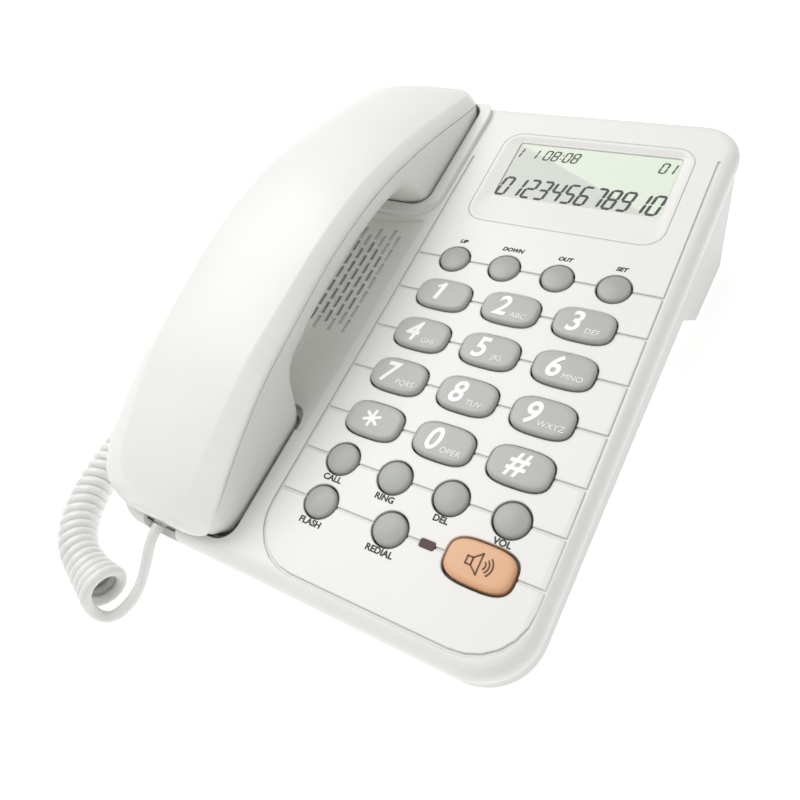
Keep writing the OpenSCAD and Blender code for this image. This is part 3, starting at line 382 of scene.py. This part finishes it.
def cord_line():
    """The cord's centre line from the handset to the base, kept on the table."""
    front = resample(catmull(HANDSET_TAIL, 12), CORD_STEP)
    coil = coil_line()
    rear = resample(catmull(BASE_TAIL, 12), CORD_STEP)
    line = np.vstack([front, bridge(front, coil, CORD_STEP), coil, bridge(coil, rear, CORD_STEP), rear])
    line[:, 2] = np.maximum(line[:, 2], CORD_RADIUS + 0.05)
    return line


def tube_rings(line, radius, sides):
    """Rings square to the line, carried along it without twist."""
    along = np.gradient(line, axis=0)
    along /= np.linalg.norm(along, axis=1)[:, None]
    side = np.cross(along[0], [0, 0, 1.0])
    side /= np.linalg.norm(side)
    rings = []
    for place, way in zip(line, along):
        side = side - way * np.dot(side, way)
        side /= np.linalg.norm(side)
        up = np.cross(side, way)
        for k in range(sides):
            a = 2 * math.pi * k / sides
            rings.append(place + radius * (math.cos(a) * side + math.sin(a) * up))
    return np.array(rings)


def make_cord():
    line = cord_line()
    points = tube_rings(line, CORD_RADIUS, CORD_SIDES)
    faces = ring_faces(len(line), CORD_SIDES)
    cord = add_piece("handset_cord", points, faces, CORD, None, "cord", sharp=80)
    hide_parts("curly_cord", "handset_tail", "base_tail")
    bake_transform(cord)


make_cord()


# ---------------------------------------------------------------- handset

# The handset's outlines against the place along it, from its front end
HALF_WIDTH = hermite_table([(1, 8), (1.3, 10.8), (1.8, 13.4), (2.8, 17), (4, 19.8), (5, 21.2), (6, 22.2),
                            (8, 23.4), (12, 24.3), (16, 24.6), (180, 24.6), (192, 24.1), (196, 22.8),
                            (200, 19.8), (202.2, 16), (203, 13.5)])
# The upper shell's front corners are a little squarer than the lower shell's
UPPER_HALF_WIDTH = hermite_table([(1, 11), (1.3, 14), (1.8, 16.6), (2.8, 19.4), (4, 21.4), (5, 22.3),
                                  (6, 22.9), (8, 23.7), (12, 24.4), (16, 24.6), (180, 24.6), (192, 24.1),
                                  (196, 22.8), (200, 19.8), (202.2, 16), (203, 13.5)])
TOP = hermite_table([(1, 4), (1.4, 6), (2.5, 8.6), (4, 10.4), (6, 12.3), (12, 16.4), (20, 20.1),
                     (33, 24.8), (52, 29.9), (70, 33), (90, 34.7), (107, 34.8), (125, 33.2), (145, 29),
                     (163, 23.6), (180, 17.4), (192, 12.4), (198, 9), (201, 6.2), (202.4, 4.4),
                     (203, 3.2)])
SEAM = hermite_table([(1, 1.2), (2.8, 2.6), (4, 4.4), (5, 5.8), (6, 7), (8, 8.9), (12, 11.4), (16, 13.4),
                      (20, 15), (33, 19.5), (48, 23.5), (66, 25.8), (96, 28.2), (115, 27.2), (130, 25),
                      (145, 21.2), (161, 16.3), (178, 10.2), (193, 4.4), (198, 2), (203, 1.2)])
BOTTOM = hermite_table([(4, -1.6), (4.4, -3.2), (5, -4.6), (7, -6.9), (9, -8.2), (12, -8.4), (44, -8.4),
                        (49, -6), (52, 0), (54.5, 6), (58, 10.5), (64, 13.8), (75, 16.6), (90, 18),
                        (105, 18.2), (120, 17), (130, 14.8), (136, 12), (140, 8), (143, 2), (145.5, -4),
                        (149, -8), (152, -8.4), (190, -8.4), (194, -6.6), (197.5, -2.6)])
# How far the crease between the side band and the crown stands in from the side
CREASE = hermite_table([(1, 5), (4, 13), (7, 12.5), (10, 10.8), (22, 9.5), (40, 8), (90, 5.6), (160, 5),
                        (203, 4)])
CREASE_SHIFT = 1.1
CREASE_ROUND = 0.1
BAND_RISE = 4.8
BAND_SHARE = 0.85
SEAM_GAP = 0.08


def stations(start, end, close=0.25, wide=1.8, edge=12):
    """Places along the handset, closer together near its ends."""
    out = [start]
    while out[-1] < end:
        near = min(out[-1] - start, end - out[-1])
        out.append(out[-1] + close + (wide - close) * min(1, near / edge))
    out[-1] = end
    return out


def upper_section(y):
    """The upper shell cut across at y: a side band up to the crease, then the crown."""
    a, s, h = UPPER_HALF_WIDTH(y), SEAM(y) + SEAM_GAP, TOP(y)
    band = min(BAND_RISE, (h - s) * BAND_SHARE)
    c = max(a - CREASE(y) + CREASE_SHIFT, a * 0.3)
    zc = s + band
    crown = h - zc
    crease = np.array((c, zc))
    below = np.array((a - (a - c) * 0.5, s + band * 0.66))
    above = np.array((0.72 * c, zc + crown * 0.56))
    half = [(a - 0.8, s), (a - 0.12, s + 0.1), (a, s + 0.5), (a - 0.25, s + band * 0.3), tuple(below),
            tuple(crease + (below - crease) * CREASE_ROUND),
            tuple(crease + (above - crease) * CREASE_ROUND),
            tuple(above), (0.4 * c, zc + crown * 0.88), (0, h)]
    right = chaikin(half, 3)
    left = right[::-1] * [-1, 1]
    return [(p[0], y, p[1]) for p in np.vstack([right, left[1:]])]


def lower_section(y):
    """The lower shell cut across at y, with rounded lower corners."""
    a, s, b = HALF_WIDTH(y) - 0.1, SEAM(y) - SEAM_GAP, BOTTOM(y)
    r = min(10, (s - b) * 0.8)
    turn = [math.radians(g) for g in np.linspace(180, 270, 14)]
    left = [(-a + r + r * math.cos(g), b + r + r * math.sin(g)) for g in turn]
    right = [(-p[0], p[1]) for p in reversed(left)]
    rim = [(-a + 0.7, s), (-a + 0.1, s - 0.15), (-a, s - 0.7)]
    ring = rim + left + right + [(-p[0], p[1]) for p in reversed(rim)]
    return [(p[0], y, p[1]) for p in ring]


def sections(cut, places):
    """Points and faces of a closed skin over the cuts at some places."""
    rings = [cut(y) for y in places]
    return np.array([p for ring in rings for p in ring]), ring_faces(len(rings), len(rings[0]))


def block_points(x0, x1, y0, y1, z0, z1):
    points = [(x, y, z) for z in (z0, z1) for x, y in ((x0, y0), (x1, y0), (x1, y1), (x0, y1))]
    return points, ring_faces(2, 4)


def rod_points(x, y, r, z0, z1, sides=32):
    turn = [2 * math.pi * k / sides for k in range(sides)]
    points = [(x + r * math.cos(a), y + r * math.sin(a), z) for z in (z0, z1) for a in turn]
    return points, ring_faces(2, sides)


# The plug's opening (x, y and z from and to) and the holes of the lower shell (x, y), all measured
# from the handset's front end
JACK = (-5.7, 2.7, -1, 10, -4.9, 2.5)
EAR_Y, MOUTH_Y = 166, 27
EAR_RING = 4
SOUND_RADIUS = 0.9
SCREW_RADIUS = 3.1
SCREW_HOLES = [(40, 4), (186, -4)]          # place along the handset and top of the recess


def make_handset():
    on = PANEL @ Matrix.Translation((CRADLE_X, 0, 0))
    points, faces = sections(upper_section, stations(1, 203))
    top = add_piece("handset_top", points, faces, WHITE_SKIN, "handset", "shell", on, sharp=50)
    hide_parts("handset_top_shell")
    points, faces = sections(lower_section, stations(4, 197.5, wide=1.2))
    low = add_piece("handset_bottom", points, faces, WHITE_SKIN, "handset", "shell", on, sharp=50)
    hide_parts("handset_bottom_shell")

    def cutter(shape):
        return add_piece("cutter", *shape, BLACK, None, "black_plastic", on)

    apply_cut(top, [cutter(block_points(*JACK))])
    ring = [math.pi * k / 3 for k in range(6)]
    holes = [(0, EAR_Y), (0, MOUTH_Y)]
    holes += [(EAR_RING * math.cos(a), EAR_Y + EAR_RING * math.sin(a)) for a in ring]
    cutters = [cutter(block_points(*JACK))]
    cutters += [cutter(rod_points(x, y, SOUND_RADIUS, -12, -6.5)) for x, y in holes]
    cutters += [cutter(rod_points(0, y, SCREW_RADIUS, -12, z)) for y, z in SCREW_HOLES]
    apply_cut(low, cutters)


make_handset()


# ---------------------------------------------------------------- keys and lettering

KEY_POWER = 3.1
KEY_FLANGE = 1.2
DIGIT_HEIGHT = 7.6
LETTER_HEIGHT = 2.0
EDGE_RINGS = 8
CROWN_RINGS = 9


def barrel_ring(w, l, z, count=72):
    ring = []
    for k in range(count):
        a = 2 * math.pi * k / count
        c, s = math.cos(a), math.sin(a)
        x = math.copysign(abs(c) ** (2 / KEY_POWER), c) * w / 2
        y = math.copysign(abs(s) ** (2 / KEY_POWER), s) * l / 2
        ring.append((x, y, z))
    return ring


def round_ring(w, l, z, count=72):
    turn = [2 * math.pi * k / count for k in range(count)]
    return [(w / 2 * math.cos(a), l / 2 * math.sin(a), z) for a in turn]


def make_key(node, outline, edge, crown, material, slot, trim=0.2, lower=0.5):
    """A key cap: straight sides, a rounded edge and a crowned top. It stands trim inside the CAD
    cap's outline and lower than its top."""
    low, high = panel_box(node)
    inset = 2 * (KEY_FLANGE + trim)
    w, l = high[0] - low[0] - inset, high[1] - low[1] - inset
    rise = high[2] - lower - crown
    levels = [(0, low[2] + 0.9), (0, rise - edge)]
    for k in range(1, EDGE_RINGS):
        a = math.pi / 2 * k / EDGE_RINGS
        levels.append((edge * (1 - math.cos(a)), rise - edge + edge * math.sin(a)))
    rings = [outline(w - 2 * i, l - 2 * i, z) for i, z in levels]
    for k in range(1, CROWN_RINGS):
        t = 1 - k / CROWN_RINGS
        rings.append(outline((w - 2 * edge) * t, (l - 2 * edge) * t, rise + crown * (1 - t * t)))
    points = np.array([p for ring in rings for p in ring])
    middle = (low + high) / 2
    on = PANEL @ Matrix.Translation((middle[0], middle[1], 0))
    cap = add_piece(node + "_cap", points, ring_faces(len(rings), len(rings[0])), material,
                    node + "_body", slot, on, sharp=60)
    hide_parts(node)
    return on, high[2] - lower


def text_mesh(words, height, slant, weight, thick):
    """Flat lettering as a mesh in millimetres, centred."""
    data = bpy.data.curves.new("lettering", "FONT")
    data.body = words
    data.size = height / 0.72
    data.shear = slant
    data.offset = weight
    data.extrude = thick / 2
    data.align_x = "CENTER"
    data.resolution_u = 6
    source = bpy.data.objects.new("lettering", data)
    bpy.context.scene.collection.objects.link(source)
    bpy.context.view_layer.update()
    mesh = source.to_mesh()
    points = np.array([v.co[:] for v in mesh.vertices])
    faces = [tuple(p.vertices) for p in mesh.polygons]
    source.to_mesh_clear()
    bpy.data.objects.remove(source)
    bpy.data.curves.remove(data)
    points[:, 1] -= (points[:, 1].max() + points[:, 1].min()) / 2
    points[:, 0] -= (points[:, 0].max() + points[:, 0].min()) / 2
    return points, faces


def add_letters(name, words, place, on, body, material, height, slant=0.0, weight=0.0, thick=0.16,
                narrow=1.0):
    points, faces = text_mesh(words, height, slant, weight, thick)
    points[:, 0] *= narrow
    return add_piece(name, points + np.array(place), faces, material, body, "grey_key", on)


NUMBER_KEYS = [("key_1", "1", ""), ("key_2", "2", "ABC"), ("key_3", "3", "DEF"), ("key_4", "4", "GHI"),
               ("key_5", "5", "JKL"), ("key_6", "6", "MNO"), ("key_7", "7", "PQRS"), ("key_8", "8", "TUV"),
               ("key_9", "9", "WXYZ"), ("key_star", "*", ""), ("key_0", "0", "OPER"), ("key_hash", "#", "")]
ROUND_KEYS = ["key_scroll_up", "key_scroll_down", "key_dial_out", "key_set", "key_call_back", "key_ringer",
              "key_delete", "key_volume", "key_flash", "key_redial"]
# Generic words printed on the panel: key, word, how far up the slope from the key's middle
ABOVE, BELOW = 8.2, -6.8
KEY_WORDS = [("key_scroll_up", "UP", ABOVE), ("key_scroll_down", "DOWN", ABOVE),
             ("key_dial_out", "OUT", ABOVE), ("key_set", "SET", ABOVE), ("key_call_back", "CALL", BELOW),
             ("key_ringer", "RING", BELOW), ("key_delete", "DEL", BELOW), ("key_volume", "VOL", BELOW),
             ("key_flash", "FLASH", BELOW), ("key_redial", "REDIAL", BELOW)]


def stroke(line, width, z0, z1):
    """A flat line of some width through points, as one closed ribbon."""
    p = np.array(line, float)
    along = np.gradient(p, axis=0)
    along /= np.linalg.norm(along, axis=1)[:, None]
    side = np.column_stack([-along[:, 1], along[:, 0]]) * width / 2
    points = []
    for c, n in zip(p, side):
        points += [(*(c + n), z0), (*(c - n), z0), (*(c - n), z1), (*(c + n), z1)]
    return points, ring_faces(len(p), 4)


def joined(shapes):
    """Several meshes' points and faces as one."""
    points, faces = [], []
    for more, their_faces in shapes:
        faces += [tuple(i + len(points) for i in face) for face in their_faces]
        points += [tuple(p) for p in more]
    return points, faces


def speaker_symbol(z):
    """Line drawing of a loudspeaker with three sound waves."""
    z0, z1, width = z - 0.05, z + 0.1, 0.42
    box = [(-3.6, -1.1), (-2.0, -1.1), (-2.0, 1.1), (-3.6, 1.1)]
    cone = [(-2.0, -1.1), (0.2, -3.0), (0.2, 3.0), (-2.0, 1.1)]
    shapes = []
    for outline in (box, cone):
        for i, a in enumerate(outline):
            b = np.array(outline[(i + 1) % 4])
            way = (b - a) / np.linalg.norm(b - a) * width / 2
            shapes.append(stroke([a - way, (a + b) / 2, b + way], width, z0, z1))
    for radius in (1.6, 2.6, 3.6):
        turn = [math.radians(g) for g in np.linspace(-46, 46, 14)]
        shapes.append(stroke([(0.3 + radius * math.cos(a), radius * 0.95 * math.sin(a)) for a in turn],
                             width, z0, z1))
    return joined(shapes)


def one_symbol(z):
    """The figure one: a slanting stem and its flag."""
    foot, head = (-1.9, -3.2), (-0.3, 3.8)
    stem = stroke([foot, ((foot[0] + head[0]) / 2, (foot[1] + head[1]) / 2), head], 1.5, z - 0.05, z + 0.08)
    flag = stroke([(-2.8, 2.0), (-1.6, 2.6), (-0.4, 3.5)], 0.9, z - 0.05, z + 0.082)
    return joined([stem, flag])


def star_symbol(z):
    """A star of six rays."""
    rays = []
    for k in range(3):
        a = math.radians(80 + 60 * k)
        x, y = 3.1 * math.cos(a), 3.1 * math.sin(a)
        rays.append(stroke([(-x - 0.6, -y), (-0.6, 0), (x - 0.6, y)], 1.0, z - 0.05, z + 0.06 + 0.002 * k))
    return joined(rays)


def make_keys():
    for node, digit, letters in NUMBER_KEYS:
        on, top = make_key(node, barrel_ring, 1.1, 0.15, GREY, "grey_key")
        body = node + "_body"
        shift = -2.7 if letters else (-0.6 if digit in "*#" else -2.4)
        if digit in "*1":
            points, faces = star_symbol(top) if digit == "*" else one_symbol(top)
            add_piece(node + "_digit", points, faces, WHITE_INK, body, "grey_key", on)
        else:
            add_letters(node + "_digit", digit, (shift, 0.1, top - 0.02), on, body, WHITE_INK,
                        DIGIT_HEIGHT, 0.22, 0.24, narrow=0.88)
        if letters:
            add_letters(node + "_letters", letters, (3.6, -2.7, top - 0.04), on, body, PALE_INK,
                        LETTER_HEIGHT, 0.1)
    for node in ROUND_KEYS:
        make_key(node, round_ring, 1.1, 0.5, DARK_GREY, "grey_key", trim=0.3, lower=1.0)
    for node, word, up in KEY_WORDS:
        low, high = panel_box(node)
        middle = (low + high) / 2
        on = PANEL @ Matrix.Translation((middle[0], middle[1], 0))
        tall, slant = (1.6, 0.25) if up == ABOVE else (1.95, 0)
        add_letters(node + "_word", word, (0, up, 0.03), on, "base", INK, tall, slant, 0.09, thick=0.08)
    on, top = make_key("key_loudspeaker", barrel_ring, 1.2, 0.15, ORANGE, "orange_key", trim=0.5)
    points, faces = speaker_symbol(top)
    add_piece("key_loudspeaker_symbol", points, faces, BROWN_INK, "key_loudspeaker_body", "orange_key", on)


make_keys()


# ---------------------------------------------------------------- display

# Seven segments, each from one corner of the figure to another: (across, up) in halves
SEGMENT_ENDS = {"a": ((0, 2), (1, 2)), "b": ((1, 1), (1, 2)), "c": ((1, 0), (1, 1)), "d": ((0, 0), (1, 0)),
                "e": ((0, 0), (0, 1)), "f": ((0, 1), (0, 2)), "g": ((0, 1), (1, 1))}
FIGURES = {"0": "abcdef", "1": "bc", "2": "abdeg", "3": "abcdg", "4": "bcfg", "5": "acdfg", "6": "acdefg",
           "7": "abc", "8": "abcdefg", "9": "abcdfg"}
FIGURE_SLANT = 0.2
BIG_STEP = 4.95
SMALL_Y = 20.1
SMALL_FIGURES = [("1", -0.4), ("1", 5.8), ("0", 10.9), ("8", 14.0), ("0", 18.4), ("8", 21.5), ("0", 53.0),
                 ("1", 55.6)]
COLON_X = 17.3
PANE_THICK = 0.1
FACE_GAP = 0.06


def figure_shapes(figure, x, y, wide, tall, bold, z):
    shapes = []
    for name in FIGURES[figure]:
        (u0, v0), (u1, v1) = SEGMENT_ENDS[name]
        a = np.array((u0 * wide, v0 * tall / 2))
        b = np.array((u1 * wide, v1 * tall / 2))
        way = (b - a) / np.linalg.norm(b - a)
        a, b = a + way * bold * 0.3, b - way * bold * 0.3
        side = np.array((-way[1], way[0])) * bold / 2
        tip = way * bold / 2
        ring = [a - tip * 0.6, a + side * 0.9 + tip * 0.4, b + side * 0.9 - tip * 0.4, b + tip * 0.6,
                b - side * 0.9 - tip * 0.4, a - side * 0.9 + tip * 0.4]
        ring = [(x + p[0] + FIGURE_SLANT * p[1], y + p[1]) for p in reversed(ring)]
        shapes.append(([(*p, zz) for zz in (z, z + 0.03) for p in ring], ring_faces(2, len(ring))))
    return shapes


def rounded_slab(low, high, r, z0, z1, steps=8):
    """A slab with rounded corners between two corners of its outline."""
    corners = [(high[0] - r, low[1] + r, -90), (high[0] - r, high[1] - r, 0), (low[0] + r, high[1] - r, 90),
               (low[0] + r, low[1] + r, 180)]
    outline = []
    for x, y, start in corners:
        for k in range(steps + 1):
            a = math.radians(start + 90 * k / steps)
            outline.append((x + r * math.cos(a), y + r * math.sin(a)))
    return [(*p, z) for z in (z0, z1) for p in outline], ring_faces(2, len(outline))


def make_display():
    """A thin pane, the display's face close under it and its figures between the two."""
    low, high = panel_box("display_window")
    back_low, back_high = panel_box("display_panel")
    slab = rounded_slab(low, high, 1.1, high[2] - PANE_THICK, high[2])
    pane = add_piece("display_pane", *slab, PANE, "base", "window", PANEL)
    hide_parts("display_window")
    face = high[2] - PANE_THICK - FACE_GAP
    step = back_low[2] + 4
    body = joined([rounded_slab(low + 0.1, high - 0.1, 1.0, step, face),
                   block_points(back_low[0], back_high[0], back_low[1], back_high[1], back_low[2], step)])
    panel = add_piece("display_face", *body, LCD, "base", "lcd", PANEL)
    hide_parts("display_panel")
    z = face + 0.02
    x0, y0 = low[0], low[1]
    shapes = []
    for i, figure in enumerate("012345678910"):
        shapes += figure_shapes(figure, x0 + i * BIG_STEP, y0 + 0.9, 3.2, 8.6, 1.15, z)
    for figure, x in SMALL_FIGURES:
        shapes += figure_shapes(figure, x0 + x, y0 + SMALL_Y, 2.0, 4.6, 0.66, z)
    for up in (1.3, 3.1):
        x, y = x0 + COLON_X + FIGURE_SLANT * up, y0 + SMALL_Y + up
        shapes.append(stroke([(x - 0.25, y), (x, y), (x + 0.25, y)], 0.5, z, z + 0.03))
    points, faces = joined(shapes)
    add_piece("display_figures", points, faces, SEGMENT, "base", "lcd", PANEL)


make_display()


# ---------------------------------------------------------------- studio

# The floor is a lit table, so that shadows on it stay pale
FLOOR_GLOW = 0.45
FLOOR_HALF = 3000
SKY_STRENGTH = 0.53
STUDIO_AIM = (0, 0, 0.03)


def make_floor():
    floor_material = bpy.data.materials.new("studio_floor")
    floor_material.use_nodes = True
    shader = floor_material.node_tree.nodes["Principled BSDF"]
    shader.inputs["Base Color"].default_value = (0.92, 0.92, 0.92, 1)
    shader.inputs["Roughness"].default_value = 0.9
    shader.inputs["Emission Color"].default_value = (1, 1, 1, 1)
    shader.inputs["Emission Strength"].default_value = FLOOR_GLOW
    points = [(x * FLOOR_HALF, y * FLOOR_HALF, 0) for x, y in ((-1, -1), (1, -1), (1, 1), (-1, 1))]
    mesh = bpy.data.meshes.new("studio_floor")
    mesh.from_pydata([tuple(c * MM for c in p) for p in points], [], [(0, 1, 2, 3)])
    mesh.materials.append(floor_material)
    floor = bpy.data.objects.new("studio_floor", mesh)
    bpy.context.scene.collection.objects.link(floor)


def add_light(name, place, aim, size, power):
    """A soft square lamp; places in metres, power in watts."""
    data = bpy.data.lights.new(name, "AREA")
    data.shape = "SQUARE"
    data.size = size
    data.energy = power
    lamp = bpy.data.objects.new(name, data)
    bpy.context.scene.collection.objects.link(lamp)
    turn = (Vector(aim) - Vector(place)).to_track_quat("-Z", "Y").to_matrix().to_4x4()
    lamp.matrix_world = Matrix.Translation(place) @ turn


def make_studio():
    scene = bpy.context.scene
    scene.view_settings.view_transform = "Standard"
    world = bpy.data.worlds.new("studio")
    scene.world = world
    world.use_nodes = True
    background = world.node_tree.nodes["Background"]
    background.inputs["Color"].default_value = (1, 1, 0.99, 1)
    background.inputs["Strength"].default_value = SKY_STRENGTH
    make_floor()
    add_light("key_light", (-0.42, 0.1, 0.82), STUDIO_AIM, 0.75, 5.5)
    add_light("fill_light", (0.0, -0.8, 0.8), STUDIO_AIM, 0.8, 0.8)


make_studio()
